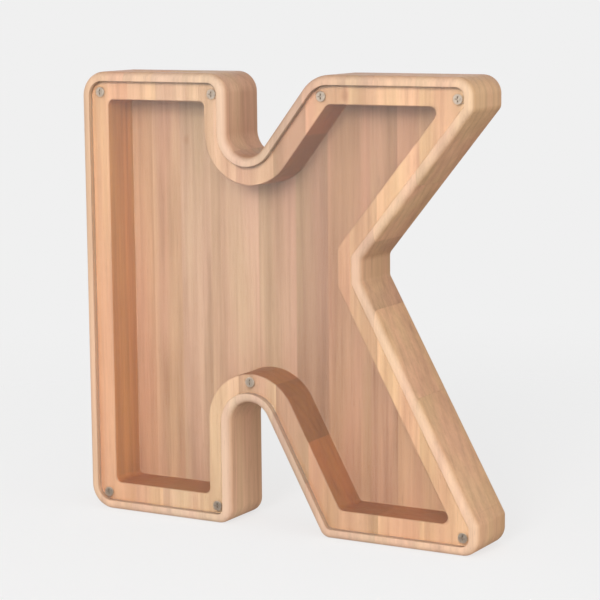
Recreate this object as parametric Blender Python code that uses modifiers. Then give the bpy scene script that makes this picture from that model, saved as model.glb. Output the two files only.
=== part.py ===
"""Letter K money box: a board of edge-glued staves, hollowed from the front, closed by a clear pane.

The letter stands upright on the feet of its stem and its leg. X runs along the letter's width, Y from
front to back and Z up. The origin is under the middle of the box that bounds the whole object.
Outlines are worked out in letter coordinates: x from the stem's left side, z from the feet.
"""
import math

import bmesh
import bpy
from mathutils import Matrix, Vector

MM = 0.001

# The letter's outline, as the sharp corners before they are rounded. The sides of the arm and of the leg
# meet in points, which upright flats cut off at the tips.
HEIGHT = 200.0 * MM
STEM_WIDTH = 75.5 * MM
ARM_LEFT = 118.5 * MM
ARM_POINT = 205.0 * MM
ARM_TIP = 193.9 * MM
LEG_LEFT = 122.0 * MM
LEG_POINT = 204.0 * MM
LEG_TIP = 196.4 * MM
CROTCH_X = 141.6 * MM
CROTCH_LOW_Z = 113.2 * MM
CROTCH_HIGH_Z = 122.6 * MM
TOP_NOTCH_Z = 145.2 * MM
BOTTOM_NOTCH_Z = 85.6 * MM
WIDTH = LEG_TIP

# Radii of the outline's corners
STEM_LEFT_RADIUS = 11.0 * MM
STEM_TOP_RADIUS = 9.0 * MM
STEM_FOOT_RADIUS = 7.0 * MM
ARM_LEFT_RADIUS = 16.0 * MM
LEG_LEFT_RADIUS = 5.0 * MM
TIP_RADIUS = 8.0 * MM
BLUNT_RADIUS = 4.0 * MM
CROTCH_RADIUS = 3.6 * MM
NOTCH_RADIUS = 10.0 * MM

# Depths, counted from the front rim towards the back
DEPTH = 30.0 * MM
REBATE_DEPTH = 4.0 * MM
CAVITY_DEPTH = 23.0 * MM
EDGE_ROUNDING = 3.0 * MM

# Widths, counted from the letter's side towards the cavity
RIM_WIDTH = 4.2 * MM
WALL_THICKNESS = 12.5 * MM
CUTTER_RADIUS = 2.8 * MM

# The joints between staves, from left to right. Right of SPLIT_FROM the arm and the leg are apart.
STAVE_JOINTS = [x * MM for x in (23.0, 38.0, 54.0, 79.0, 98.0, 114.0, 135.0, 148.0, 168.0)]
SPLIT_FROM = STAVE_JOINTS[-2]
SPLIT_Z = (CROTCH_LOW_Z + CROTCH_HIGH_Z) / 2
GAP = 0.3 * MM

# Coin slot, through the top of the stem
SLOT_LENGTH = 35.0 * MM
SLOT_WIDTH = 5.0 * MM
SLOT_Y = 13.0 * MM

# Clear pane
PANE_THICKNESS = 2.0 * MM
PANE_FRONT = REBATE_DEPTH - GAP - PANE_THICKNESS

# Countersunk screws, flush with the pane
HEAD_RADIUS = 2.2 * MM
HEAD_LAND = 0.2 * MM
HEAD_HEIGHT = 1.2 * MM
SHANK_RADIUS = 1.2 * MM
SCREW_LENGTH = 12.0 * MM
POINT_LENGTH = 2.4 * MM
RECESS_SPAN = 2.4 * MM
RECESS_WIDTH = 0.6 * MM
RECESS_DEPTH = 0.6 * MM

# How far the screws stand inside the letter's outer sides: at the left and the top, and elsewhere
SCREW_INSET = 9.1 * MM
NEAR_SCREW_INSET = 7.7 * MM

# Places in the outline's list of corners that the screws are set out from
BOTTOM_NOTCH_PLACE = 2
ARM_LEFT_PLACE = 10

ARC_STEP = math.radians(15.0)
CYLINDER_SIDES = 16
OVERSHOOT = 5.0 * MM

WOOD_TONES = {
    "pale": (0.72, 0.50, 0.33, 1.0),
    "honey": (0.66, 0.42, 0.26, 1.0),
    "rose": (0.62, 0.37, 0.24, 1.0),
    "tan": (0.55, 0.33, 0.20, 1.0),
}
STAVE_TONES = ("rose", "honey", "tan", "honey", "pale", "rose", "honey", "pale", "tan", "honey")


# ---------------------------------------------------------------- outline
def blunt_corner(crotch, point, tip):
    """Where the slanting side from the crotch to a limb's point meets the upright flat at its tip."""
    corner = crotch.lerp(point, (tip - crotch.x) / (point.x - crotch.x))
    return corner, BLUNT_RADIUS


def letter_corners(pointed):
    """Sharp corners with their radii, counter-clockwise seen from the front, limbs pointed or blunt."""
    crotch_low = Vector((CROTCH_X, CROTCH_LOW_Z))
    crotch_high = Vector((CROTCH_X, CROTCH_HIGH_Z))
    leg_point = Vector((LEG_POINT, 0.0))
    arm_point = Vector((ARM_POINT, HEIGHT))
    if pointed:
        leg_end = [(leg_point, TIP_RADIUS)]
        arm_end = [(arm_point, TIP_RADIUS)]
    else:
        leg_end = [(Vector((LEG_TIP, 0.0)), TIP_RADIUS), blunt_corner(crotch_low, leg_point, LEG_TIP)]
        arm_end = [blunt_corner(crotch_high, arm_point, ARM_TIP), (Vector((ARM_TIP, HEIGHT)), TIP_RADIUS)]
    return [
        (Vector((0.0, 0.0)), STEM_LEFT_RADIUS),
        (Vector((STEM_WIDTH, 0.0)), STEM_FOOT_RADIUS),
        (Vector((STEM_WIDTH, BOTTOM_NOTCH_Z)), NOTCH_RADIUS),
        (Vector((LEG_LEFT, 0.0)), LEG_LEFT_RADIUS),
        *leg_end,
        (crotch_low, CROTCH_RADIUS),
        (crotch_high, CROTCH_RADIUS),
        *arm_end,
        (Vector((ARM_LEFT, HEIGHT)), ARM_LEFT_RADIUS),
        (Vector((STEM_WIDTH, TOP_NOTCH_Z)), NOTCH_RADIUS),
        (Vector((STEM_WIDTH, HEIGHT)), STEM_TOP_RADIUS),
        (Vector((0.0, HEIGHT)), STEM_LEFT_RADIUS),
    ]


def inward(direction):
    """The normal that points into the letter from a side that runs along direction."""
    return Vector((-direction.y, direction.x))


def inset_corner(corners, index, inset):
    """One corner of the outline moved inwards, with the sides' directions before and after it."""
    here = corners[index][0]
    before = (here - corners[index - 1][0]).normalized()
    after = (corners[(index + 1) % len(corners)][0] - here).normalized()
    slide = inward(before) + inward(after)
    return here + slide * inset / (1.0 + before.dot(after)), before, after


def rounded_outline(inset, pointed=False):
    """Points of the outline moved inwards by inset, with its corners rounded.

    The roundings stay concentric, as far as the cutter allows, but for the crotch's, which stay as tight.
    """
    points = []
    corners = letter_corners(pointed)
    for index, (_, radius) in enumerate(corners):
        corner, before, after = inset_corner(corners, index, inset)
        turn = math.atan2(before.cross(after), before.dot(after))
        bend = math.copysign(1.0, turn)
        arc_radius = radius
        if radius != CROTCH_RADIUS:
            arc_radius = max(radius - bend * inset, CUTTER_RADIUS)
        centre = corner - before * arc_radius * math.tan(abs(turn) / 2) + inward(before) * bend * arc_radius
        spoke = -inward(before) * bend * arc_radius
        steps = math.ceil(abs(turn) / ARC_STEP)
        for step in range(steps + 1):
            points.append(centre + Matrix.Rotation(turn * step / steps, 2) @ spoke)
    return points


def placed(x, depth, z):
    """Letter coordinates and a depth behind the rim, as a place in the object's own frame."""
    return Vector((x - WIDTH / 2, depth - DEPTH / 2, z))


# ---------------------------------------------------------------- helpers
def clear_scene():
    for item in list(bpy.data.objects):
        bpy.data.objects.remove(item, do_unlink=True)


def new_collection(name):
    collection = bpy.data.collections.new(name)
    bpy.context.scene.collection.children.link(collection)
    return collection


def material(name, colour, roughness, metallic=0.0, alpha=1.0):
    made = bpy.data.materials.new(name)
    made.use_nodes = True
    shader = made.node_tree.nodes["Principled BSDF"]
    shader.inputs["Base Color"].default_value = colour
    shader.inputs["Roughness"].default_value = roughness
    shader.inputs["Metallic"].default_value = metallic
    shader.inputs["Alpha"].default_value = alpha
    return made


def add_object(name, mesh, collection):
    item = bpy.data.objects.new(name, mesh)
    collection.objects.link(item)
    if collection == GUIDES:
        item.hide_render = True
        item.display_type = "WIRE"
    return item


def cut(item, cutter, operation="DIFFERENCE"):
    boolean = item.modifiers.new(cutter.name, "BOOLEAN")
    boolean.operation = operation
    boolean.solver = "EXACT"
    boolean.object = cutter


def plate(name, outline, front, back, collection):
    """A flat outline of letter coordinates, extruded from depth front to depth back."""
    curve = bpy.data.curves.new(name + "_outline", "CURVE")
    curve.dimensions = "2D"
    curve.fill_mode = "BOTH"
    curve.extrude = (back - front) / 2
    spline = curve.splines.new("POLY")
    spline.points.add(len(outline) - 1)
    spline.use_cyclic_u = True
    for target, point in zip(spline.points, outline):
        target.co = (point.x, point.y, 0.0, 1.0)
    drawn = bpy.data.objects.new(name + "_outline", curve)
    bpy.context.scene.collection.objects.link(drawn)
    bpy.context.view_layer.update()
    evaluated = drawn.evaluated_get(bpy.context.evaluated_depsgraph_get())
    mesh = bpy.data.meshes.new_from_object(evaluated)
    mesh.name = name
    bpy.data.objects.remove(drawn, do_unlink=True)
    form = bmesh.new()
    form.from_mesh(mesh)
    bmesh.ops.remove_doubles(form, verts=form.verts, dist=0.001 * MM)
    bmesh.ops.dissolve_limit(form, angle_limit=math.radians(0.5), verts=form.verts, edges=form.edges)
    bmesh.ops.recalc_face_normals(form, faces=form.faces)
    form.to_mesh(mesh)
    form.free()
    item = add_object(name, mesh, collection)
    item.location = placed(0.0, (front + back) / 2, 0.0)
    item.rotation_euler = (math.radians(90.0), 0.0, 0.0)
    return item


def box(name, low, high, collection):
    """A cuboid between two corners, given in the object's own frame."""
    mesh = bpy.data.meshes.new(name)
    form = bmesh.new()
    bmesh.ops.create_cube(form, size=1.0)
    bmesh.ops.scale(form, vec=high - low, verts=form.verts)
    form.to_mesh(mesh)
    form.free()
    item = add_object(name, mesh, collection)
    item.location = (low + high) / 2
    return item


def turned(name, profile, x, z, collection):
    """A profile of radius and height over the pane's face, turned about an axis towards the front."""
    mesh = bpy.data.meshes.new(name)
    form = bmesh.new()
    corners = [form.verts.new((radius, 0.0, height)) for radius, height in profile]
    for upper, lower in zip(corners, corners[1:]):
        form.edges.new((upper, lower))
    form.to_mesh(mesh)
    form.free()
    item = add_object(name, mesh, collection)
    item.location = placed(x, PANE_FRONT, z)
    item.rotation_euler = (math.radians(90.0), 0.0, 0.0)
    turning = item.modifiers.new("turned", "SCREW")
    turning.steps = CYLINDER_SIDES
    turning.render_steps = CYLINDER_SIDES
    turning.use_merge_vertices = True
    turning.merge_threshold = 0.01 * MM
    turning.use_normal_calculate = True
    return item


# ---------------------------------------------------------------- wooden box
def slot_cutter():
    """The coin slot: a flat bar with half-round ends, standing through the top wall."""
    radius = SLOT_WIDTH / 2
    reach = SLOT_LENGTH / 2 - radius
    curve_steps = 8
    outline = []
    for side in (1, -1):
        for step in range(curve_steps + 1):
            angle = math.pi * (step / curve_steps - 0.5)
            across = reach + radius * math.cos(angle)
            outline.append(Vector((side * across, side * radius * math.sin(angle))))
    bottom = HEIGHT - WALL_THICKNESS - OVERSHOOT
    top = HEIGHT + OVERSHOOT
    item = plate("coin_slot_cutter", outline, bottom, top, GUIDES)
    item.location = placed(STEM_WIDTH / 2, SLOT_Y, (bottom + top) / 2)
    item.rotation_euler = (0.0, 0.0, 0.0)
    return item


def carved_letter(screw_spaces):
    """The whole letter with rounded edges, cavity, rebate, coin slot and pilot holes."""
    letter = plate("letter_block", rounded_outline(0.0), 0.0, DEPTH, GUIDES)
    rounding = letter.modifiers.new("edge_rounding", "BEVEL")
    rounding.width = EDGE_ROUNDING
    rounding.segments = 3
    rounding.limit_method = "ANGLE"
    rounding.angle_limit = math.radians(60.0)
    cavity = rounded_outline(WALL_THICKNESS, pointed=True)
    rebate = rounded_outline(RIM_WIDTH)
    cut(letter, plate("cavity_cutter", cavity, -OVERSHOOT, CAVITY_DEPTH, GUIDES))
    cut(letter, plate("rebate_cutter", rebate, -OVERSHOOT, REBATE_DEPTH, GUIDES))
    cut(letter, slot_cutter())
    for space in screw_spaces:
        cut(letter, space)
    return letter


def stave(name, low, high, tone, letter):
    """One stave of the glued board, as much of it as the letter leaves between two corners."""
    item = box(name, low, high, PARTS)
    cut(item, letter, "INTERSECT")
    item.data.materials.append(WOODS[tone])
    return item


def slotted_stave(name, left, right, tone, letter):
    """A stave that the coin slot crosses from side to side, which leaves its front lip a piece of its own."""
    lip_low = placed(left, -OVERSHOOT, HEIGHT - 2 * WALL_THICKNESS)
    lip_high = placed(right, SLOT_Y, HEIGHT + OVERSHOOT)
    margin = Vector((OVERSHOOT, 0.0, 0.0))
    body_low = placed(left, -OVERSHOOT, -OVERSHOOT)
    body_high = placed(right, DEPTH + OVERSHOOT, HEIGHT + OVERSHOOT)
    body = stave(name, body_low, body_high, tone, letter)
    cut(body, box(name + "_lip_space", lip_low - margin, lip_high + margin, GUIDES))
    stave(name + "_lip", lip_low, lip_high, tone, letter)


def wooden_box(screw_spaces):
    letter = carved_letter(screw_spaces)
    slot_left = (STEM_WIDTH - SLOT_LENGTH) / 2
    slot_right = slot_left + SLOT_LENGTH
    edges = [-OVERSHOOT] + STAVE_JOINTS + [WIDTH + OVERSHOOT]
    for number, (joint_left, joint_right, tone) in enumerate(zip(edges, edges[1:], STAVE_TONES), start=1):
        name = f"stave_{number:02d}"
        left = joint_left + GAP / 2
        right = joint_right - GAP / 2
        low = placed(left, -OVERSHOOT, -OVERSHOOT)
        high = placed(right, DEPTH + OVERSHOOT, HEIGHT + OVERSHOOT)
        if slot_left < left and right < slot_right:
            slotted_stave(name, left, right, tone, letter)
        elif joint_left < SPLIT_FROM:
            stave(name, low, high, tone, letter)
        else:
            stave(name + "_arm", Vector((low.x, low.y, SPLIT_Z)), high, tone, letter)
            stave(name + "_leg", low, Vector((high.x, high.y, SPLIT_Z)), tone, letter)


# ---------------------------------------------------------------- pane and screws
def screw_places():
    """Where the screws stand on the ledge: one by each outer corner and one over the bottom notch."""
    left = SCREW_INSET
    stem_right = STEM_WIDTH - NEAR_SCREW_INSET
    low = NEAR_SCREW_INSET
    high = HEIGHT - SCREW_INSET
    arm_left = inset_corner(letter_corners(False), ARM_LEFT_PLACE, NEAR_SCREW_INSET)[0].x
    arm_right = ARM_TIP - NEAR_SCREW_INSET
    leg_right = LEG_TIP - NEAR_SCREW_INSET
    return {
        "stem_top_left": (left, high),
        "stem_top_right": (stem_right, high),
        "arm_top_left": (arm_left, high),
        "arm_top_right": (arm_right, high),
        "notch": notch_screw_place(),
        "stem_bottom_left": (left, low),
        "stem_bottom_right": (stem_right, low),
        "leg_bottom_right": (leg_right, low),
    }


def notch_screw_place():
    """On the ledge, straight above the middle of the bottom notch's round end."""
    corner, before, after = inset_corner(letter_corners(False), BOTTOM_NOTCH_PLACE, 0.0)
    half_angle = math.atan2(before.cross(after), before.dot(after)) / 2
    to_centre = (after - before).normalized()
    centre = corner + to_centre * NOTCH_RADIUS / math.cos(half_angle)
    return centre.x, centre.y + NOTCH_RADIUS + SCREW_INSET


def head_profile(clearance):
    """Where the head's cone starts and ends, as radius and height, grown all round by a clearance."""
    drop = clearance * math.tan(math.radians(22.5))
    return [
        (HEAD_RADIUS + clearance, -HEAD_LAND - drop),
        (SHANK_RADIUS + clearance, -HEAD_HEIGHT - drop),
    ]


def screw_space(place, x, z):
    """The hole one screw needs: a countersink through the pane and a pilot hole in the wood."""
    bottom = -SCREW_LENGTH - GAP
    mouth = [(0.0, OVERSHOOT), (HEAD_RADIUS + GAP, OVERSHOOT)]
    shank = [(SHANK_RADIUS + GAP, bottom), (0.0, bottom)]
    return turned(f"hole_{place}", mouth + head_profile(GAP) + shank, x, z, GUIDES)


def front_pane(screw_spaces):
    outline = rounded_outline(RIM_WIDTH + GAP)
    item = plate("front_pane", outline, PANE_FRONT, PANE_FRONT + PANE_THICKNESS, PARTS)
    for space in screw_spaces:
        cut(item, space)
    item.data.materials.append(CLEAR)


def screw(place, x, z):
    """A countersunk screw with a cross recess, its head flush with the pane."""
    face = [(0.0, 0.0), (HEAD_RADIUS, 0.0)]
    point = [(SHANK_RADIUS, POINT_LENGTH - SCREW_LENGTH), (0.0, -SCREW_LENGTH)]
    item = turned(f"screw_{place}", face + head_profile(0.0) + point, x, z, PARTS)
    for direction, (wide, high) in enumerate(((RECESS_SPAN, RECESS_WIDTH), (RECESS_WIDTH, RECESS_SPAN))):
        corner = Vector((wide / 2, OVERSHOOT / 2, high / 2))
        middle = placed(x, PANE_FRONT + RECESS_DEPTH - OVERSHOOT / 2, z)
        bar = box(f"recess_{place}_{direction + 1}", middle - corner, middle + corner, GUIDES)
        cut(item, bar)
    item.data.materials.append(STEEL)


clear_scene()
PARTS = new_collection("letter_money_box")
GUIDES = new_collection("letter_money_box_guides")
WOODS = {tone: material(f"wood_{tone}", colour, 0.55) for tone, colour in WOOD_TONES.items()}
CLEAR = material("clear_acrylic", (0.95, 0.97, 0.97, 1.0), 0.05, alpha=0.25)
STEEL = material("steel", (0.62, 0.60, 0.57, 1.0), 0.3, metallic=1.0)
spaces = [screw_space(place, x, z) for place, (x, z) in screw_places().items()]
wooden_box(spaces)
front_pane(spaces)
for screw_place, (screw_x, screw_z) in screw_places().items():
    screw(screw_place, screw_x, screw_z)
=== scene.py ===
"""Looks of the letter K money box: glued wooden staves, a clear screwed-on pane and its screws."""
import math

import bmesh
import bpy
from mathutils import Matrix, Vector


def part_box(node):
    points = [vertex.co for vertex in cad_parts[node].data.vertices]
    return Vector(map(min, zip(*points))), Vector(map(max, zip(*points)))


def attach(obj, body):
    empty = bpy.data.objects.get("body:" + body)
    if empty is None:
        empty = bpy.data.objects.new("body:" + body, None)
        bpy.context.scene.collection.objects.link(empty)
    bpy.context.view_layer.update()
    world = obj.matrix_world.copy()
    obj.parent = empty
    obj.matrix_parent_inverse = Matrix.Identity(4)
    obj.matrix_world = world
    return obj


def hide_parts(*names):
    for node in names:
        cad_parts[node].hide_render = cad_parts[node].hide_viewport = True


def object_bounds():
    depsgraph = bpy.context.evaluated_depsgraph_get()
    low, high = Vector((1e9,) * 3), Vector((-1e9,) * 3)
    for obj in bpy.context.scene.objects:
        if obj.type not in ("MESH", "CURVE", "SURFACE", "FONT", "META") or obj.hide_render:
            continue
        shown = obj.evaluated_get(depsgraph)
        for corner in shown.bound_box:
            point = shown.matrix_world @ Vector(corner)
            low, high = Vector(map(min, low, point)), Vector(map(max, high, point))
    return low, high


MM = 0.001

# The letter's outline as part.py draws it: sharp corners and their radii
HEIGHT = 200.0 * MM
STEM_WIDTH = 75.5 * MM
ARM_LEFT = 118.5 * MM
ARM_POINT = 205.0 * MM
ARM_TIP = 193.9 * MM
LEG_LEFT = 122.0 * MM
LEG_POINT = 204.0 * MM
LEG_TIP = 196.4 * MM
CROTCH_X = 141.6 * MM
CROTCH_LOW_Z = 113.2 * MM
CROTCH_HIGH_Z = 122.6 * MM
TOP_NOTCH_Z = 145.2 * MM
BOTTOM_NOTCH_Z = 85.6 * MM
STEM_LEFT_RADIUS = 11.0 * MM
STEM_TOP_RADIUS = 9.0 * MM
STEM_FOOT_RADIUS = 7.0 * MM
ARM_LEFT_RADIUS = 16.0 * MM
LEG_LEFT_RADIUS = 5.0 * MM
TIP_RADIUS = 8.0 * MM
BLUNT_RADIUS = 4.0 * MM
CROTCH_RADIUS = 3.6 * MM
NOTCH_RADIUS = 10.0 * MM
DEPTH = 30.0 * MM
REBATE_DEPTH = 4.0 * MM
CAVITY_DEPTH = 23.0 * MM
EDGE_ROUNDING = 3.0 * MM
RIM_WIDTH = 4.2 * MM
PANE_INSET = 4.22 * MM
WALL_THICKNESS = 12.5 * MM
CUTTER_RADIUS = 2.8 * MM
STAVE_GAP = 0.3 * MM
SLOT_LENGTH = 35.0 * MM
SLOT_WIDTH = 5.0 * MM
SLOT_Y = 13.0 * MM
SLOT_EASING = 0.6 * MM

# How far tools reach past what they cut, and a place between the last stave's and the others' right sides
OVERSHOOT = 4.0 * MM
LAST_STAVE_X = 180.0 * MM

# Countersunk screws, and how much wider their holes are
HEAD_RADIUS = 2.2 * MM
HEAD_LAND = 0.2 * MM
HEAD_HEIGHT = 1.2 * MM
SHANK_RADIUS = 1.2 * MM
HOLE_CLEARANCE = 0.3 * MM
COUNTERSINK_SLOPE = math.radians(45.0)

# Small easings that sanding leaves on the cut edges
MOUTH_EASING = 0.45 * MM
RIM_EASING = 0.35 * MM
FLOOR_FILLET = 0.5 * MM
PANE_EASING = 0.12 * MM

# How finely curves are stepped, and the angle past which an edge is shaded sharp
ARC_STEP = math.radians(3.5)
ROUNDING_STEPS = 8
EASING_STEPS = 3
PANE_EASING_STEPS = 2
SLOT_END_STEPS = 16
HOLE_SIDES = 32
SHARP_ANGLE = math.radians(35.0)

# Camera, which stands to the letter's right and a little above it
CAMERA_AZIMUTH = math.radians(29.88)
CAMERA_ELEVATION = math.radians(8.48)
CAMERA_ROLL = math.radians(-0.56)
CAMERA_DISTANCE = 0.9121
CAMERA_LENS_MM = 127.6
CAMERA_AIM = Vector((112.4 * MM, 0.0, 103.8 * MM))

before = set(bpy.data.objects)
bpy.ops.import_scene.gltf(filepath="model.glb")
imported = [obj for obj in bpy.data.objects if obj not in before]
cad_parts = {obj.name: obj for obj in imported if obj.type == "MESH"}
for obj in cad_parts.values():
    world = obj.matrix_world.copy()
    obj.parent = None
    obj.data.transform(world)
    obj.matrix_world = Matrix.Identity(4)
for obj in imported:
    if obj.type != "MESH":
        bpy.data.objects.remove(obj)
cad_low, cad_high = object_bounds()
CORNER_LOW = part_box("stave_01")[0]


def placed(x, depth, z):
    """Letter coordinates and a depth behind the rim, as a place in the frame."""
    return Vector((CORNER_LOW.x + x, CORNER_LOW.y + depth, CORNER_LOW.z + z))


# ---------------------------------------------------------------- outline
def blunt_corner(crotch, point, tip):
    """Where the slanting side from the crotch to a limb's point meets the upright flat at its tip."""
    corner = crotch.lerp(point, (tip - crotch.x) / (point.x - crotch.x))
    return corner, BLUNT_RADIUS


def letter_corners(pointed):
    """Sharp corners with their radii, counter-clockwise seen from the front, limbs pointed or blunt."""
    crotch_low = Vector((CROTCH_X, CROTCH_LOW_Z))
    crotch_high = Vector((CROTCH_X, CROTCH_HIGH_Z))
    leg_point = Vector((LEG_POINT, 0.0))
    arm_point = Vector((ARM_POINT, HEIGHT))
    if pointed:
        leg_end = [(leg_point, TIP_RADIUS)]
        arm_end = [(arm_point, TIP_RADIUS)]
    else:
        leg_end = [(Vector((LEG_TIP, 0.0)), TIP_RADIUS), blunt_corner(crotch_low, leg_point, LEG_TIP)]
        arm_end = [blunt_corner(crotch_high, arm_point, ARM_TIP), (Vector((ARM_TIP, HEIGHT)), TIP_RADIUS)]
    return [
        (Vector((0.0, 0.0)), STEM_LEFT_RADIUS),
        (Vector((STEM_WIDTH, 0.0)), STEM_FOOT_RADIUS),
        (Vector((STEM_WIDTH, BOTTOM_NOTCH_Z)), NOTCH_RADIUS),
        (Vector((LEG_LEFT, 0.0)), LEG_LEFT_RADIUS),
        *leg_end,
        (crotch_low, CROTCH_RADIUS),
        (crotch_high, CROTCH_RADIUS),
        *arm_end,
        (Vector((ARM_LEFT, HEIGHT)), ARM_LEFT_RADIUS),
        (Vector((STEM_WIDTH, TOP_NOTCH_Z)), NOTCH_RADIUS),
        (Vector((STEM_WIDTH, HEIGHT)), STEM_TOP_RADIUS),
        (Vector((0.0, HEIGHT)), STEM_LEFT_RADIUS),
    ]


def inward(direction):
    """The direction a quarter turn to the left, which points into the letter."""
    return Vector((-direction.y, direction.x))


def rounded_outline(inset, pointed=False):
    """Points of the outline moved inwards, as many for any inset, counter-clockwise seen from the front.

    The roundings stay concentric, as far as the cutter allows, but for the crotch's, which stay as tight.
    """
    points = []
    corners = letter_corners(pointed)
    for index, (here, radius) in enumerate(corners):
        before = (here - corners[index - 1][0]).normalized()
        after = (corners[(index + 1) % len(corners)][0] - here).normalized()
        corner = here + (inward(before) + inward(after)) * inset / (1.0 + before.dot(after))
        turn = math.atan2(before.cross(after), before.dot(after))
        bend = math.copysign(1.0, turn)
        arc_radius = radius
        if radius != CROTCH_RADIUS:
            arc_radius = max(radius - bend * inset, CUTTER_RADIUS)
        centre = corner - before * arc_radius * math.tan(abs(turn) / 2) + inward(before) * bend * arc_radius
        spoke = -inward(before) * bend * arc_radius
        steps = math.ceil(abs(turn) / ARC_STEP)
        for step in range(steps + 1):
            points.append(centre + Matrix.Rotation(turn * step / steps, 2) @ spoke)
    return points


def quarter(steps):
    """Sine and cosine pairs round a quarter circle."""
    angles = [math.pi / 2 * step / steps for step in range(steps + 1)]
    return [(math.sin(angle), math.cos(angle)) for angle in angles]


# ---------------------------------------------------------------- mesh helpers
def mesh_object(name, form):
    """Turns a bmesh into a shown, smoothly shaded object."""
    mesh = bpy.data.meshes.new(name)
    form.to_mesh(mesh)
    form.free()
    item = bpy.data.objects.new(name, mesh)
    bpy.context.scene.collection.objects.link(item)
    mesh.shade_smooth()
    mesh.set_sharp_from_angle(angle=SHARP_ANGLE)
    return item


def loft(rings, routed_share=0.0):
    """A bmesh skinned over closed rings with equally many points each, and capped at both ends.

    Its faces carry routed_share in the attribute "routed", which tells the cavity's faces from the others.
    """
    form = bmesh.new()
    routed = form.faces.layers.float.new("routed")
    rows = [[form.verts.new(point) for point in ring] for ring in rings]
    count = len(rows[0])
    for row, following in zip(rows, rows[1:]):
        for index in range(count):
            after = (index + 1) % count
            form.faces.new((row[index], row[after], following[after], following[index]))
    form.faces.new(rows[0])
    form.faces.new(rows[-1])
    for face in form.faces:
        face[routed] = routed_share
    bmesh.ops.recalc_face_normals(form, faces=form.faces)
    return form


def apply_boolean(item, cutter, operation):
    """Gives item the mesh that it has after a boolean with cutter."""
    boolean = item.modifiers.new("cut", "BOOLEAN")
    boolean.operation = operation
    boolean.solver = "EXACT"
    boolean.object = cutter
    evaluated = item.evaluated_get(bpy.context.evaluated_depsgraph_get())
    mesh = bpy.data.meshes.new_from_object(evaluated)
    item.modifiers.clear()
    old = item.data
    item.data = mesh
    bpy.data.meshes.remove(old)


def remove(item):
    """Deletes a tool that has done its cut."""
    bpy.data.objects.remove(item, do_unlink=True)


def cuboid(name, low, high):
    """A box between two corners, as an object."""
    form = bmesh.new()
    bmesh.ops.create_cube(form, size=1.0)
    bmesh.ops.scale(form, vec=high - low, verts=form.verts)
    bmesh.ops.translate(form, vec=(low + high) / 2, verts=form.verts)
    return mesh_object(name, form)


def around(sides):
    """Angles of equally spaced points round a full turn."""
    return [2 * math.pi * side / sides for side in range(sides)]


def about_axis(place, radius, angle, depth):
    """A point at a radius and an angle about the axis along Y through place, and a depth behind place."""
    return place + Vector((radius * math.cos(angle), depth, radius * math.sin(angle)))


def turned(profile, sides, place):
    """A bmesh of a profile of (radius, height along -Y) turned about an axis through place."""
    rings = []
    for radius, height in profile:
        rings.append([about_axis(place, radius, angle, -height) for angle in around(sides)])
    return loft(rings)


def dress(item, look, sharp_angle=SHARP_ANGLE):
    """Gives item its material, and shading that keeps flat faces flat beside rounded edges."""
    item.data.shade_smooth()
    item.data.set_sharp_from_angle(angle=sharp_angle)
    item.data.materials.clear()
    item.data.materials.append(look)
    weighted = item.modifiers.new("weighted_normals", "WEIGHTED_NORMAL")
    weighted.keep_sharp = True


# ---------------------------------------------------------------- wooden box
def skinned(profile, pointed=False, routed_share=0.0):
    """A bmesh over outlines of the letter, one for each (inset, depth) of the profile."""
    rings = []
    for inset, depth in profile:
        rings.append([placed(point.x, depth, point.y) for point in rounded_outline(inset, pointed)])
    return loft(rings, routed_share)


def cavity_profile():
    """(inset, depth) of the cavity's skin, from its floor to its eased mouth and on out to the front."""
    profile = []
    for sine, cosine in quarter(EASING_STEPS):
        inset = WALL_THICKNESS + FLOOR_FILLET * (1 - sine)
        profile.append((inset, CAVITY_DEPTH - FLOOR_FILLET * (1 - cosine)))
    for sine, cosine in quarter(EASING_STEPS):
        inset = WALL_THICKNESS - MOUTH_EASING * (1 - cosine)
        profile.append((inset, REBATE_DEPTH + MOUTH_EASING * (1 - sine)))
    profile.append((WALL_THICKNESS - MOUTH_EASING, -OVERSHOOT))
    return profile


def board_profile():
    """(inset, depth) of the board's skin, from the rebate's floor over the rim to the back."""
    profile = [(RIM_WIDTH, REBATE_DEPTH)]
    for sine, cosine in quarter(EASING_STEPS):
        profile.append((RIM_WIDTH - RIM_EASING * (1 - cosine), RIM_EASING * (1 - sine)))
    for sine, cosine in quarter(ROUNDING_STEPS):
        profile.append((EDGE_ROUNDING * (1 - sine), EDGE_ROUNDING * (1 - cosine)))
    for sine, cosine in quarter(ROUNDING_STEPS):
        profile.append((EDGE_ROUNDING * (1 - cosine), DEPTH - EDGE_ROUNDING * (1 - sine)))
    return profile


def slot_cutter():
    """The coin slot with an eased mouth, as a tool that stands through the top wall."""
    middle = placed(STEM_WIDTH / 2, SLOT_Y, 0.0)
    bottom = HEIGHT - WALL_THICKNESS - OVERSHOOT
    levels = [(0.0, bottom)]
    for sine, cosine in quarter(EASING_STEPS + 1):
        levels.append((SLOT_EASING * (1 - cosine), HEIGHT - SLOT_EASING * (1 - sine)))
    levels.append((SLOT_EASING, HEIGHT + OVERSHOOT))
    rings = []
    for growth, z in levels:
        radius = SLOT_WIDTH / 2 + growth
        reach = (SLOT_LENGTH - SLOT_WIDTH) / 2
        ring = []
        for side in (1, -1):
            for step in range(SLOT_END_STEPS + 1):
                angle = math.pi * (step / SLOT_END_STEPS - 0.5)
                across = side * (reach + radius * math.cos(angle))
                ring.append(Vector((middle.x + across, middle.y + side * radius * math.sin(angle), z)))
        rings.append(ring)
    return mesh_object("slot_cutter", loft(rings))


def carved_letter():
    """The whole wooden letter in one piece: board, rebate, cavity, coin slot and screw holes."""
    letter = mesh_object("letter", skinned(board_profile()))
    cavity = mesh_object("cavity", skinned(cavity_profile(), pointed=True, routed_share=1.0))
    cutters = [cavity, slot_cutter()] + [screw_space(name) for name in nodes_named("screw_")]
    for cutter in cutters:
        apply_boolean(letter, cutter, "DIFFERENCE")
        remove(cutter)
    return letter


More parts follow.
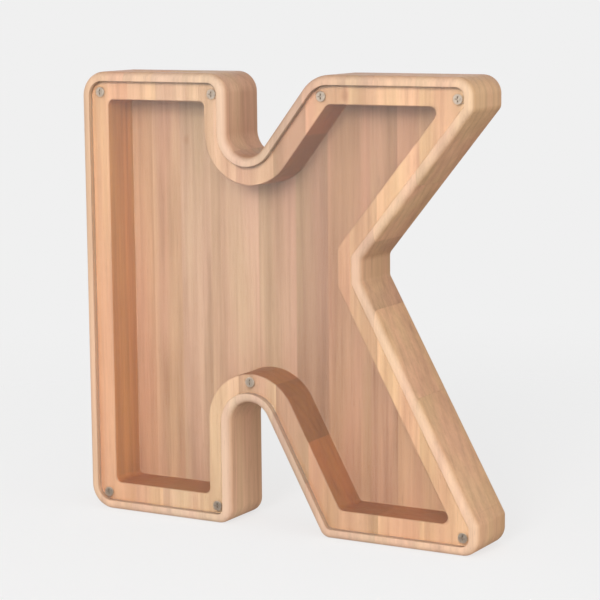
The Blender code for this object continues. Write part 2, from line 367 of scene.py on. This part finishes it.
def screw_space(name):
    """The countersunk hole that one screw stands in, through the pane and into the wood."""
    low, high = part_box(name)
    centre = (low + high) / 2
    place = Vector((centre.x, low.y, centre.z))
    drop = HOLE_CLEARANCE * math.tan(COUNTERSINK_SLOPE / 2)
    bottom = low.y - high.y - HOLE_CLEARANCE
    profile = [
        (HEAD_RADIUS + HOLE_CLEARANCE, OVERSHOOT),
        (HEAD_RADIUS + HOLE_CLEARANCE, -HEAD_LAND - drop),
        (SHANK_RADIUS + HOLE_CLEARANCE, -HEAD_HEIGHT - drop),
        (SHANK_RADIUS + HOLE_CLEARANCE, bottom),
    ]
    return mesh_object("screw_space", turned(profile, HOLE_SIDES, place))


def nodes_named(start):
    """Names of the CAD nodes that start so, in order."""
    return sorted(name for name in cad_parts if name.startswith(start))


def stave_slab(name):
    """The space one stave fills: its CAD box, grown by half the gap to each neighbour it is glued to."""
    low, high = (Vector(corner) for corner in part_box(name))
    board_left = low.x < cad_low.x + STAVE_GAP
    low.x -= OVERSHOOT if board_left else STAVE_GAP / 2
    high.x += OVERSHOOT if high.x > placed(LAST_STAVE_X, 0.0, 0.0).x else STAVE_GAP / 2
    low.y -= OVERSHOOT
    low.z -= OVERSHOOT
    high.z += OVERSHOOT
    if name.endswith("_lip"):
        high.y = placed(0.0, SLOT_Y, 0.0).y
    else:
        high.y += OVERSHOOT
    return low, high


def stave(name, letter, look):
    """One piece of wood: what the letter has in the stave's space, without the lip that is cut off it."""
    low, high = stave_slab(name)
    slab = cuboid("slab", low, high)
    item = letter.copy()
    item.data = letter.data.copy()
    item.name = "wood_" + name
    bpy.context.scene.collection.objects.link(item)
    apply_boolean(item, slab, "INTERSECT")
    remove(slab)
    if name + "_lip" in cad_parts:
        lip_low, lip_high = stave_slab(name + "_lip")
        lip_space = cuboid("lip_space", lip_low, lip_high)
        apply_boolean(item, lip_space, "DIFFERENCE")
        remove(lip_space)
    item.data.name = item.name
    dress(item, look)
    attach(item, "box")
    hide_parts(name)


# ---------------------------------------------------------------- node helpers
class Graph:
    """A small wrapper that adds nodes and links to the shader of a material or a world."""

    def __init__(self, owner):
        self.owner = owner
        owner.use_nodes = True
        self.tree = owner.node_tree
        self.tree.nodes.clear()

    def add(self, kind, inputs=None, **settings):
        made = self.tree.nodes.new(kind)
        for key, value in settings.items():
            setattr(made, key, value)
        for key, value in (inputs or {}).items():
            socket = made.inputs[key]
            if isinstance(value, bpy.types.NodeSocket):
                self.tree.links.new(value, socket)
            else:
                socket.default_value = value
        return made

    def math(self, operation, first, second=0.0, clamp=False):
        made = self.add("ShaderNodeMath", {0: first, 1: second}, operation=operation, use_clamp=clamp)
        return made.outputs[0]

    def swing(self, noise, amount):
        """A noise's departure from its middle, times an amount."""
        return self.math("MULTIPLY", self.math("SUBTRACT", noise, 0.5), amount)

    def ramp(self, value, low, high, start=0.0, end=1.0):
        """Maps value from low..high to start..end, smoothly and clamped."""
        made = self.add(
            "ShaderNodeMapRange",
            {"Value": value, "From Min": low, "From Max": high, "To Min": start, "To Max": end},
            interpolation_type="SMOOTHSTEP",
        )
        return made.outputs["Result"]

    def between(self, factor, first, second):
        """Mixes two numbers."""
        return self.add("ShaderNodeMix", {"Factor": factor, "A": first, "B": second}).outputs[0]

    def blend(self, factor, first, second, mode="MIX"):
        """Mixes two colours."""
        made = self.add("ShaderNodeMix", {0: factor, 6: first, 7: second}, data_type="RGBA", blend_type=mode)
        return made.outputs[2]

    def noise(self, vector, scale, detail=3.0, roughness=0.5):
        made = self.add(
            "ShaderNodeTexNoise", {"Vector": vector, "Scale": scale, "Detail": detail, "Roughness": roughness}
        )
        return made.outputs["Fac"]

    def stretched(self, vector, scale, turn=(0.0, 0.0, 0.0), shift=(0.0, 0.0, 0.0)):
        made = self.add(
            "ShaderNodeMapping", {"Vector": vector, "Location": shift, "Rotation": turn, "Scale": scale}
        )
        return made.outputs["Vector"]

    def shown(self, surface, output="ShaderNodeOutputMaterial"):
        """Ends the graph with a surface, and hands over the material or world it belongs to."""
        self.add(output, {"Surface": surface})
        return self.owner


# ---------------------------------------------------------------- wood
# Tone of each stave, and how its growth rings lie: the pith's place in mm beside it, and the rings' spacing
STAVE_LOOKS = {
    1: ((0.743, 0.412, 0.228), (30.0, 70.0), 4.0),
    2: ((0.755, 0.446, 0.262), (-40.0, 60.0), 5.5),
    3: ((0.732, 0.474, 0.294), (25.0, -80.0), 4.5),
    4: ((0.738, 0.462, 0.286), (-60.0, 55.0), 6.0),
    5: ((0.680, 0.415, 0.256), (10.0, 75.0), 5.0),
    6: ((0.530, 0.308, 0.178), (45.0, -60.0), 4.2),
    7: ((0.660, 0.366, 0.210), (-20.0, 85.0), 5.2),
    8: ((0.664, 0.388, 0.219), (50.0, 65.0), 3.6),
    9: ((0.775, 0.452, 0.255), (-35.0, -70.0), 4.8),
    10: ((0.779, 0.463, 0.260), (40.0, 80.0), 5.8),
}

# How far the patterns of one stave are shifted from those of the one before
SEED_STEP = (0.37, 0.71, 0.53)

# Patterns in the wood, drawn out along the grain by scaling the height: that scale, then the noise's own
# scale, detail and roughness
STREAKS = (0.035, 240.0, 4.0, 0.6)
FIBRES = (0.02, 1500.0, 2.0, 0.6)
MOTTLE = (0.25, 55.0, 2.0, 0.5)
PORES = (0.06, 2600.0, 1.0, 0.5)
DRIFT = (0.10, 75.0, 1.5, 0.5)
CELLS = (1.0, 1100.0, 2.0, 0.7)

# Growth rings, whose height is scaled in the same way, and the wave texture's own period
RING_HEIGHT_SCALE = 0.12
PITH_TILT = math.radians(2.2)
WAVE_PERIOD = math.pi / 10.0

# The stretch of each pattern's values over which it takes effect
LATE_WOOD_SPAN = (0.55, 1.0)
PORE_SPAN = (0.66, 0.74)
CELL_SPAN = (0.50, 0.70)
DRIFT_SPAN = (0.30, 0.70)
KNOT_SPAN = (1.5, 0.3)
SHINE_SPAN = (0.25, 0.75)
SMOOTHEST = 0.46
ROUGHEST = 0.60

# How much each pattern changes the shade about its middle, along the wood and on its ends
MIDDLE_SHADE = 0.62
STREAK_SWING = 1.8
FIBRE_SWING = 0.55
MOTTLE_SWING = 0.9
RING_SHADE = -0.13
END_RING_SHADE = -0.16
END_GRAIN_CALM = 0.8

# Shades of a stave's tone
DARK_GRAIN = (0.74, 0.66, 0.60)
LIGHT_GRAIN = (1.18, 1.22, 1.26)
PORE_SHADE = (0.45, 0.34, 0.26)
CELL_SHADE = (0.36, 0.28, 0.22)
GLUE_SHADE = (0.50, 0.40, 0.32)
KNOT_SHADE = (0.42, 0.30, 0.20)
PORE_COVER = 0.30
CELL_COVER = 0.45
GLUE_COVER = 0.16
KNOT_COVER = 0.65
GLUE_LINE = 0.16 * MM

# Small knots on a stave: x and height in the letter, and radius, all in mm; they are drawn out in height
KNOTS = {3: [(41.5, 169.0, 1.0)], 7: [(133.2, 191.5, 1.6)]}
KNOT_STRETCH = 2.2
KNOT_RAGGEDNESS = 1.4

# Tints: painted shade in the routed cavity, on the pane's ledge and towards the back of the sides, and a
# painted highlight on the rim
PINK_DRIFT = (1.0, 0.93, 0.95, 1.0)
YELLOW_DRIFT = (0.97, 1.0, 0.93, 1.0)
END_GRAIN_TINT = (0.66, 0.60, 0.55, 1.0)
# Painted shade inside the cavity: on its floor, its walls and its end walls
ROUTED_FLOOR_SHADE = (0.62, 0.61, 0.62, 1.0)
ROUTED_WALL_SHADE = (0.76, 0.63, 0.38, 1.0)
ROUTED_END_SHADE = (0.70, 0.47, 0.22, 1.0)
# Painted shade, darker towards the cavity's foot
FOOT_SHADE = (0.97, 0.94, 0.91, 1.0)
FOOT_SHADE_END = 95.0 * MM
WALL_TO_END_POWER = 0.6
# Painted shade on the ledge under the rim and the pane
LEDGE_PAINTED_SHADE = (0.74, 0.74, 0.73, 1.0)
LEDGE_FRONT = (0.85 * REBATE_DEPTH, 0.95 * REBATE_DEPTH)
LEDGE_BACK = (2.0 * REBATE_DEPTH, 1.5 * REBATE_DEPTH)
# Painted shade on the outer sides, darker towards the back
SIDE_PAINTED_SHADE = (0.84, 0.80, 0.77, 1.0)
# Painted highlight that makes the rim paler
RIM_PAINTED_HIGHLIGHT = (0.85, 0.77, 0.67, 1.0)
RIM_HIGHLIGHT_COVER = 0.24

# Relief of the sanded surface
FIBRE_RELIEF = 0.6
PORE_RELIEF = -0.9
RING_RELIEF = 0.25
RELIEF_STRENGTH = 0.35
RELIEF_HEIGHT = 0.12 * MM


def scaled(tone, factors):
    """A shade of a tone, as an opaque colour."""
    return tuple(channel * factor for channel, factor in zip(tone, factors)) + (1.0,)


def pattern(graph, place, kind):
    """A noise that is drawn out along the grain, which runs up the letter."""
    height_scale, scale, detail, roughness = kind
    return graph.noise(graph.stretched(place, (1.0, 1.0, height_scale)), scale, detail, roughness)


def late_wood(graph, place, number, middle_x):
    """The dark side of the growth rings, which lie about a slightly tilted pith beside the stave."""
    _, pith, spacing = STAVE_LOOKS[number]
    centre = Vector((middle_x + pith[0] * MM, pith[1] * MM, 0.0))
    tilt = (PITH_TILT * (-1) ** number, PITH_TILT, 0.0)
    rings = graph.add(
        "ShaderNodeTexWave",
        {
            "Vector": graph.stretched(place, (1.0, 1.0, RING_HEIGHT_SCALE), turn=tilt, shift=-centre),
            "Scale": WAVE_PERIOD / (spacing * MM),
            "Distortion": 3.5,
            "Detail": 3.0,
            "Detail Scale": 0.8,
            "Detail Roughness": 0.6,
        },
        wave_type="RINGS",
        rings_direction="Z",
        wave_profile="SAW",
    )
    return graph.ramp(rings.outputs["Fac"], *LATE_WOOD_SPAN)


def ends_coloured(graph, tone, colour, end_grain, cells):
    """Darker wood with open cells where the staves are cut across."""
    cut = graph.blend(1.0, colour, END_GRAIN_TINT, mode="MULTIPLY")
    cut = graph.blend(graph.ramp(cells, *CELL_SPAN, end=CELL_COVER), cut, scaled(tone, CELL_SHADE))
    return graph.blend(end_grain, colour, cut)


def routed_painted_shade(graph, colour, routed, flat_on, level, height):
    """Painted shade in the cavity: darker, warmer floor and walls, and a little darker still towards its
    foot.
    """
    # Painted shade, darker and warmer on the cavity's walls and end walls than on its floor
    wall_shade = graph.blend(graph.math("POWER", level, WALL_TO_END_POWER), ROUTED_WALL_SHADE, ROUTED_END_SHADE)
    tint = graph.blend(flat_on, wall_shade, ROUTED_FLOOR_SHADE)
    # Painted shade, darker towards the cavity's foot
    foot = graph.ramp(height, FOOT_SHADE_END, WALL_THICKNESS)
    tint = graph.blend(foot, tint, FOOT_SHADE, mode="MULTIPLY")
    return graph.blend(routed, colour, tint, mode="MULTIPLY")


def outside_painted_light(graph, colour, outer, flat_on, depth):
    """Painted shade on the ledge under the pane and on the sides towards the back, and a painted highlight
    that makes the rim paler.
    """
    # Painted shade on the ledge, where the rim and the pane shade it
    ledge = graph.math("MULTIPLY", graph.ramp(depth, *LEDGE_FRONT), flat_on)
    ledge = graph.math("MULTIPLY", ledge, graph.ramp(depth, *LEDGE_BACK))
    colour = graph.blend(graph.math("MULTIPLY", ledge, outer), colour, LEDGE_PAINTED_SHADE, mode="MULTIPLY")
    side_on = graph.math("SUBTRACT", 1.0, flat_on)
    # Painted shade on the outer sides, darker towards the back
    rear_shade = graph.math("MULTIPLY", graph.ramp(depth, REBATE_DEPTH, DEPTH), side_on)
    colour = graph.blend(graph.math("MULTIPLY", rear_shade, outer), colour, SIDE_PAINTED_SHADE, mode="MULTIPLY")
    # Painted highlight: the rim is paler near the front
    rim_highlight = graph.ramp(depth, EDGE_ROUNDING, 0.0, end=RIM_HIGHLIGHT_COVER)
    return graph.blend(graph.math("MULTIPLY", rim_highlight, outer), colour, RIM_PAINTED_HIGHLIGHT)


def glued(graph, tone, colour, across, joints):
    """Thin dark lines at the glue joints on either side of a stave."""
    for joint in joints:
        distance = graph.math("ABSOLUTE", graph.math("SUBTRACT", across, joint))
        line = graph.ramp(distance, GLUE_LINE, 0.0, end=GLUE_COVER)
        colour = graph.blend(line, colour, scaled(tone, GLUE_SHADE))
    return colour


def knotted(graph, number, colour, axes, cells):
    """The stave's knots, small dark ovals with ragged edges."""
    tone = STAVE_LOOKS[number][0]
    for knot_x, knot_z, radius in KNOTS.get(number, ()):
        knot = placed(knot_x * MM, 0.0, knot_z * MM)
        side = graph.math("DIVIDE", graph.math("SUBTRACT", axes.outputs["X"], knot.x), radius * MM)
        rise = graph.math("SUBTRACT", axes.outputs["Z"], knot.z)
        rise = graph.math("DIVIDE", rise, KNOT_STRETCH * radius * MM)
        squares = graph.math("ADD", graph.math("POWER", side, 2.0), graph.math("POWER", rise, 2.0))
        reach = graph.math("ADD", graph.math("SQRT", squares), graph.swing(cells, KNOT_RAGGEDNESS))
        cover = graph.ramp(reach, *KNOT_SPAN, end=KNOT_COVER)
        colour = graph.blend(cover, colour, scaled(tone, KNOT_SHADE))
    return colour


def wood(name, number, low_x, high_x):
    """The look of one stave, whose glue joints stand at low_x and high_x."""
    tone = STAVE_LOOKS[number][0]
    graph = Graph(bpy.data.materials.new(name))
    coordinates = graph.add("ShaderNodeTexCoord")
    place = coordinates.outputs["Object"]
    axes = graph.add("ShaderNodeSeparateXYZ", {0: place})
    depth = graph.math("SUBTRACT", axes.outputs["Y"], CORNER_LOW.y)
    normal = graph.add("ShaderNodeSeparateXYZ", {0: coordinates.outputs["Normal"]})
    level = graph.math("ABSOLUTE", normal.outputs["Z"])
    flat_on = graph.math("ABSOLUTE", normal.outputs["Y"])
    end_grain = graph.math("POWER", level, 2.0)
    lengthwise = graph.math("SUBTRACT", 1.0, graph.math("MULTIPLY", end_grain, END_GRAIN_CALM))
    routed = graph.add("ShaderNodeAttribute", attribute_type="GEOMETRY", attribute_name="routed")
    routed = routed.outputs["Fac"]
    outer = graph.math("SUBTRACT", 1.0, routed)

    seed = Vector([step * number for step in SEED_STEP])
    shifted = graph.stretched(place, (1.0, 1.0, 1.0), shift=seed)
    streaks = pattern(graph, shifted, STREAKS)
    fibres = pattern(graph, shifted, FIBRES)
    mottle = pattern(graph, shifted, MOTTLE)
    drift = pattern(graph, shifted, DRIFT)
    cells = pattern(graph, shifted, CELLS)
    pores = graph.ramp(pattern(graph, shifted, PORES), *PORE_SPAN)
    rings = late_wood(graph, place, number, (low_x + high_x) / 2)

    shade = graph.swing(streaks, graph.math("MULTIPLY", lengthwise, STREAK_SWING))
    shade = graph.math("ADD", shade, graph.swing(fibres, FIBRE_SWING))
    shade = graph.math("ADD", shade, graph.swing(mottle, graph.math("MULTIPLY", lengthwise, MOTTLE_SWING)))
    ring_shade = graph.math("ADD", graph.math("MULTIPLY", end_grain, END_RING_SHADE), RING_SHADE)
    shade = graph.math("ADD", shade, graph.math("MULTIPLY", rings, ring_shade))
    shade = graph.math("ADD", shade, MIDDLE_SHADE, clamp=True)

    colour = graph.blend(shade, scaled(tone, DARK_GRAIN), scaled(tone, LIGHT_GRAIN))
    drift_colour = graph.blend(graph.ramp(drift, *DRIFT_SPAN), PINK_DRIFT, YELLOW_DRIFT)
    colour = graph.blend(1.0, colour, drift_colour, mode="MULTIPLY")
    colour = graph.blend(graph.math("MULTIPLY", pores, PORE_COVER), colour, scaled(tone, PORE_SHADE))
    colour = ends_coloured(graph, tone, colour, end_grain, cells)
    colour = routed_painted_shade(graph, colour, routed, flat_on, level, axes.outputs["Z"])
    colour = outside_painted_light(graph, colour, outer, flat_on, depth)
    colour = glued(graph, tone, colour, axes.outputs["X"], (low_x, high_x))
    colour = knotted(graph, number, colour, axes, cells)

    relief = graph.math("MULTIPLY", fibres, FIBRE_RELIEF)
    relief = graph.math("ADD", relief, graph.math("MULTIPLY", pores, PORE_RELIEF))
    relief = graph.math("ADD", relief, graph.math("MULTIPLY", rings, RING_RELIEF))
    bump = graph.add(
        "ShaderNodeBump", {"Strength": RELIEF_STRENGTH, "Distance": RELIEF_HEIGHT, "Height": relief}
    )
    shader = graph.add(
        "ShaderNodeBsdfPrincipled",
        {
            "Base Color": colour,
            "Roughness": graph.ramp(streaks, *SHINE_SPAN, start=SMOOTHEST, end=ROUGHEST),
            "Normal": bump.outputs["Normal"],
            "Specular IOR Level": 0.26,
            "Coat Weight": 0.06,
            "Coat Roughness": 0.32,
        },
    )
    return graph.shown(shader.outputs["BSDF"])


def wooden_box():
    """All the pieces of wood, each with the look of its stave."""
    letter = carved_letter()
    looks = {}
    for name in nodes_named("stave_"):
        number = int(name.split("_")[1])
        if number not in looks:
            low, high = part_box(name)
            looks[number] = wood(f"wood_{number:02d}", number, low.x - STAVE_GAP / 2, high.x + STAVE_GAP / 2)
        stave(name, letter, looks[number])
    remove(letter)


# ---------------------------------------------------------------- pane
EDGE_CLEARNESS = 0.80
SAWN_EDGE = (0.85, 0.76, 0.67, 1.0)
CLEAR_TINT = (0.985, 0.992, 0.990, 1.0)
SHADOW_TINT = (0.97, 0.98, 0.98, 1.0)
HAZE_SCALE = 60.0
HAZE_SPAN = (0.45, 0.8)
HAZE_ROUGHNESS = 0.05
EDGE_SPAN = (0.3, 0.7)


def clear_acrylic():
    """Clear sheet that bends and mirrors light, and lets lamps through to the wood behind it."""
    graph = Graph(bpy.data.materials.new("clear_acrylic"))
    path = graph.add("ShaderNodeLightPath")
    coordinates = graph.add("ShaderNodeTexCoord")
    haze = graph.noise(coordinates.outputs["Object"], HAZE_SCALE, detail=3.0)
    glass = graph.add(
        "ShaderNodeBsdfPrincipled",
        {
            "Base Color": CLEAR_TINT,
            "Roughness": graph.ramp(haze, *HAZE_SPAN, end=HAZE_ROUGHNESS),
            "IOR": 1.49,
            "Transmission Weight": 1.0,
        },
    )
    through = graph.add("ShaderNodeBsdfTransparent", {"Color": SHADOW_TINT})
    normal = graph.add("ShaderNodeSeparateXYZ", {0: coordinates.outputs["Normal"]})
    edge = graph.math("SUBTRACT", 1.0, graph.math("ABSOLUTE", normal.outputs["Y"]))
    sawn = graph.add("ShaderNodeBsdfDiffuse", {"Color": SAWN_EDGE})
    veiled = graph.add(
        "ShaderNodeMixShader",
        {0: EDGE_CLEARNESS, 1: sawn.outputs["BSDF"], 2: through.outputs["BSDF"]},
    )
    faced = graph.add(
        "ShaderNodeMixShader",
        {0: graph.ramp(edge, *EDGE_SPAN), 1: glass.outputs["BSDF"], 2: veiled.outputs["Shader"]},
    )
    mixed = graph.add(
        "ShaderNodeMixShader",
        {0: path.outputs["Is Shadow Ray"], 1: faced.outputs["Shader"], 2: through.outputs["BSDF"]},
    )
    return graph.shown(mixed.outputs["Shader"])


def front_pane():
    """The clear front, with eased edges and a hole for each screw."""
    low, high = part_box("front_pane")
    front = low.y - CORNER_LOW.y
    back = high.y - CORNER_LOW.y
    profile = []
    for sine, cosine in quarter(PANE_EASING_STEPS):
        profile.append((PANE_INSET + PANE_EASING * (1 - sine), front + PANE_EASING * (1 - cosine)))
    for sine, cosine in quarter(PANE_EASING_STEPS):
        profile.append((PANE_INSET + PANE_EASING * (1 - cosine), back - PANE_EASING * (1 - sine)))
    item = mesh_object("clear_front", skinned(profile))
    for name in nodes_named("screw_"):
        hole = screw_space(name)
        apply_boolean(item, hole, "DIFFERENCE")
        remove(hole)
    dress(item, clear_acrylic())
    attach(item, "front_pane")
    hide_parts("front_pane")


# ---------------------------------------------------------------- screws
HEAD_SIDES = 40
HEAD_EASING = 0.08 * MM
NECK_STUB = 0.1 * MM
CORE_RADIUS = 0.85 * MM
THREAD_PITCH = 1.1 * MM
THREAD_SIDES = 20
ROWS_PER_TURN = 8
ROWS_IN_HEAD = 2
RIDGE_HALF_WIDTH = 0.30
RIDGE_REACH = 1.6
POINT_LENGTH = 2.6 * MM
POINT_FULLNESS = 0.8
POINT_RADIUS = 0.02 * MM
NECK_LENGTH = 0.8 * MM
RECESS_SPAN = 2.5 * MM
RECESS_WIDTH = 0.58 * MM
RECESS_RIM = 0.1 * MM
RECESS_DEPTH = 0.75 * MM
RECESS_FLOOR_SHARE = 0.55
STEEL_DARK = (0.46, 0.38, 0.31, 1.0)
STEEL_LIGHT = (0.60, 0.51, 0.42, 1.0)
STEEL_SPAN = (0.3, 0.7)
CLOUD_SCALE = 900.0
SCUFF_SCALE = 2200.0
SCUFF_SQUASH = (1.0, 1.0, 6.0)
SCUFF_DEPTH = 0.03 * MM
SCREW_SHARP_ANGLE = math.radians(32.0)


def steel():
    """Warm grey steel with faint clouds and fine scuffs."""
    graph = Graph(bpy.data.materials.new("steel"))
    place = graph.add("ShaderNodeTexCoord").outputs["Object"]
    clouds = graph.noise(place, CLOUD_SCALE, detail=3.0)
    scuffs = graph.noise(graph.stretched(place, SCUFF_SQUASH), SCUFF_SCALE, detail=2.0, roughness=0.7)
    bump = graph.add("ShaderNodeBump", {"Strength": 0.2, "Distance": SCUFF_DEPTH, "Height": scuffs})
    shader = graph.add(
        "ShaderNodeBsdfPrincipled",
        {
            "Base Color": graph.blend(graph.ramp(clouds, *STEEL_SPAN), STEEL_DARK, STEEL_LIGHT),
            "Roughness": graph.ramp(scuffs, *STEEL_SPAN, start=0.34, end=0.50),
            "Metallic": 1.0,
            "Normal": bump.outputs["Normal"],
        },
    )
    return graph.shown(shader.outputs["BSDF"])


def thread_radius(height, angle, length):
    """Radius of the threaded shank at a height below the head."""
    turn = (height / THREAD_PITCH + angle / (2 * math.pi)) % 1.0
    ridge = max(0.0, 1.0 - abs(turn - 0.5) / RIDGE_HALF_WIDTH)
    start = min(1.0, max(0.0, (height - NECK_LENGTH) / THREAD_PITCH))
    taper = min(1.0, (length - height) / POINT_LENGTH)
    core = CORE_RADIUS * taper ** POINT_FULLNESS
    return core + (SHANK_RADIUS - CORE_RADIUS) * ridge * start * min(1.0, taper * RIDGE_REACH)


def threaded_shank(place, length):
    """A bmesh of the threaded shank, from inside the head to its point."""
    row_height = THREAD_PITCH / ROWS_PER_TURN
    rows = int(length / row_height)
    rings = []
    for row in range(-ROWS_IN_HEAD, rows):
        height = row * row_height
        ring = []
        for angle in around(THREAD_SIDES):
            radius = thread_radius(max(height, 0.0), angle, length)
            ring.append(about_axis(place, radius, angle, height))
        rings.append(ring)
    rings.append([about_axis(place, POINT_RADIUS, angle, length) for angle in around(THREAD_SIDES)])
    return loft(rings)


def recess_bar(place, face_y, width, rise):
    """A cutter for one bar of the cross recess, whose long side narrows towards its floor."""
    levels = [
        (1.0, face_y - OVERSHOOT),
        (1.0, face_y + RECESS_RIM),
        (RECESS_FLOOR_SHARE, face_y + RECESS_DEPTH),
    ]
    rings = []
    for share, y in levels:
        half_width = width / 2 * (share if width > rise else 1.0)
        half_rise = rise / 2 * (share if rise > width else 1.0)
        ring = []
        for side, up in ((-1, -1), (1, -1), (1, 1), (-1, 1)):
            ring.append(Vector((place.x + side * half_width, y, place.z + up * half_rise)))
        rings.append(ring)
    return mesh_object("recess_bar", loft(rings))


def screw(name, look):
    """A countersunk screw with a cross recess, standing where its CAD node stands."""
    low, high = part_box(name)
    seat = low.y + HEAD_HEIGHT
    centre = (low + high) / 2
    place = Vector((centre.x, seat, centre.z))
    head_profile = [
        (HEAD_RADIUS / 2, HEAD_HEIGHT),
        (HEAD_RADIUS - HEAD_EASING, HEAD_HEIGHT),
        (HEAD_RADIUS, HEAD_HEIGHT - HEAD_EASING),
        (HEAD_RADIUS, HEAD_HEIGHT - HEAD_LAND),
        (SHANK_RADIUS, 0.0),
        (SHANK_RADIUS, -NECK_STUB),
    ]
    item = mesh_object("driven_" + name, turned(head_profile, HEAD_SIDES, place))
    for width, rise in ((RECESS_SPAN, RECESS_WIDTH), (RECESS_WIDTH, RECESS_SPAN)):
        bar = recess_bar(place, low.y, width, rise)
        apply_boolean(item, bar, "DIFFERENCE")
        remove(bar)
    shank = mesh_object("shank", threaded_shank(place, high.y - seat))
    apply_boolean(item, shank, "UNION")
    remove(shank)
    item.data.name = item.name
    dress(item, look, SCREW_SHARP_ANGLE)
    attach(item, name)
    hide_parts(name)


# ---------------------------------------------------------------- surroundings
WHITE = (1.0, 1.0, 1.0, 1.0)
BACKDROP = 0.871
FLOOR_SIZE = 1.6
FLOOR_DROP = 0.2 * MM
FLOOR_PALE = (0.92, 0.92, 0.92, 1.0)
FLOOR_FADE_START = 0.20
FLOOR_FADE_END = 0.60
FLOOR_GLOW_SHARE = 0.75
FLOOR_GLOW = 0.94
FLOOR_BOUNCE = 0.75
FLOOR_MIRROR_DIMMING = 0.8

# Brightness of the room, and the stretch of a ray's direction over which it changes
ROOM = 0.79
DIM_SIDE = 0.45
DIM_SIDE_SPAN = (-0.7, 0.3)
DIM_REAR = 0.60
DIM_REAR_SPAN = (-0.1, 0.5)
MIRRORED_ROOM = 1.4
MIRRORED_LOW = 0.2
MIRRORED_SPAN = (-0.25, 0.0)
KEY_AZIMUTH = math.radians(10.0)
KEY_ELEVATION = math.radians(20.0)
KEY_DISTANCE = 1.4
KEY_SIZE = 0.5
KEY_WATTS = 9.0


def seen_share(graph, path):
    """1 for rays that leave the camera straight or through nothing but the pane, and 0 for others."""
    not_scattered = graph.math("SUBTRACT", 1.0, path.outputs["Diffuse Depth"], clamp=True)
    through = graph.math("MULTIPLY", path.outputs["Is Transmission Ray"], not_scattered)
    return graph.math("MAXIMUM", path.outputs["Is Camera Ray"], through)


def mirrored_share(graph, path):
    """1 for rays that a surface mirrors, and 0 for others."""
    glossy = path.outputs["Is Glossy Ray"]
    return graph.math("SUBTRACT", glossy, path.outputs["Is Transmission Ray"], clamp=True)


def floor():
    """A pale floor that glows a little, so that it runs into the backdrop with only a faint shadow."""
    form = bmesh.new()
    bmesh.ops.create_grid(form, x_segments=2, y_segments=2, size=FLOOR_SIZE)
    item = mesh_object("floor", form)
    item.location = (0.0, 0.0, -FLOOR_DROP)
    graph = Graph(bpy.data.materials.new("floor"))
    place = graph.add("ShaderNodeTexCoord").outputs["Object"]
    distance = graph.add("ShaderNodeVectorMath", {0: place}, operation="LENGTH").outputs["Value"]
    path = graph.add("ShaderNodeLightPath")
    dimming = graph.math("MULTIPLY", mirrored_share(graph, path), FLOOR_MIRROR_DIMMING)
    bounce = graph.math("MULTIPLY", FLOOR_BOUNCE, graph.math("SUBTRACT", 1.0, dimming))
    strength = graph.between(seen_share(graph, path), bounce, FLOOR_GLOW)
    glow = graph.add("ShaderNodeEmission", {"Strength": strength})
    plain = graph.add("ShaderNodeBsdfDiffuse", {"Color": FLOOR_PALE})
    pale = graph.add("ShaderNodeMixShader", {0: FLOOR_GLOW_SHARE, 1: plain.outputs[0], 2: glow.outputs[0]})
    clear = graph.add("ShaderNodeBsdfTransparent")
    fade = graph.ramp(distance, FLOOR_FADE_START, FLOOR_FADE_END)
    mixed = graph.add("ShaderNodeMixShader", {0: fade, 1: pale.outputs[0], 2: clear.outputs[0]})
    item.data.materials.append(graph.shown(mixed.outputs["Shader"]))


def outward(azimuth, elevation):
    """The direction from the letter to something at an azimuth right of its front and an elevation."""
    return Vector((
        math.sin(azimuth) * math.cos(elevation),
        -math.cos(azimuth) * math.cos(elevation),
        math.sin(elevation),
    ))


def key_lamp():
    """A round soft box near the camera, which looks at the letter's middle."""
    light = bpy.data.lights.new("key", "AREA")
    light.shape = "DISK"
    light.size = KEY_SIZE
    light.energy = KEY_WATTS
    item = bpy.data.objects.new("key", light)
    bpy.context.scene.collection.objects.link(item)
    away = outward(KEY_AZIMUTH, KEY_ELEVATION)
    item.location = Vector((0.0, 0.0, HEIGHT / 2)) + away * KEY_DISTANCE
    item.rotation_euler = away.to_track_quat("Z", "Y").to_euler()


def room():
    """White surroundings, dimmer on the left and behind, that the camera sees as an even backdrop."""
    graph = Graph(bpy.data.worlds.new("studio"))
    direction = graph.add("ShaderNodeTexCoord").outputs["Generated"]
    axes = graph.add("ShaderNodeSeparateXYZ", {0: direction})
    path = graph.add("ShaderNodeLightPath")
    from_side = graph.ramp(axes.outputs["X"], *DIM_SIDE_SPAN, DIM_SIDE, ROOM)
    from_rear = graph.ramp(axes.outputs["Y"], *DIM_REAR_SPAN, 1.0, DIM_REAR)
    lighting = graph.math("MULTIPLY", from_side, from_rear)
    reflection = graph.ramp(axes.outputs["Z"], *MIRRORED_SPAN, MIRRORED_LOW, MIRRORED_ROOM)
    strength = graph.between(mirrored_share(graph, path), lighting, reflection)
    strength = graph.between(seen_share(graph, path), strength, BACKDROP)
    background = graph.add("ShaderNodeBackground", {"Color": WHITE, "Strength": strength})
    bpy.context.scene.world = graph.shown(background.outputs[0], "ShaderNodeOutputWorld")


def camera():
    """The camera, a little tilted about its own axis, with a long lens."""
    away = outward(CAMERA_AZIMUTH, CAMERA_ELEVATION)
    aim = placed(CAMERA_AIM.x, CAMERA_AIM.y, CAMERA_AIM.z)
    lens = bpy.data.cameras.new("camera")
    lens.lens = CAMERA_LENS_MM
    item = bpy.data.objects.new("camera", lens)
    bpy.context.scene.collection.objects.link(item)
    turned_to = away.to_track_quat("Z", "Y").to_matrix().to_4x4() @ Matrix.Rotation(CAMERA_ROLL, 4, "Z")
    item.matrix_world = Matrix.Translation(aim + away * CAMERA_DISTANCE) @ turned_to
    bpy.context.scene.camera = item


wooden_box()
front_pane()
screw_look = steel()
for screw_name in nodes_named("screw_"):
    screw(screw_name, screw_look)
floor()
room()
key_lamp()
camera()
bpy.context.scene.view_settings.view_transform = "Standard"
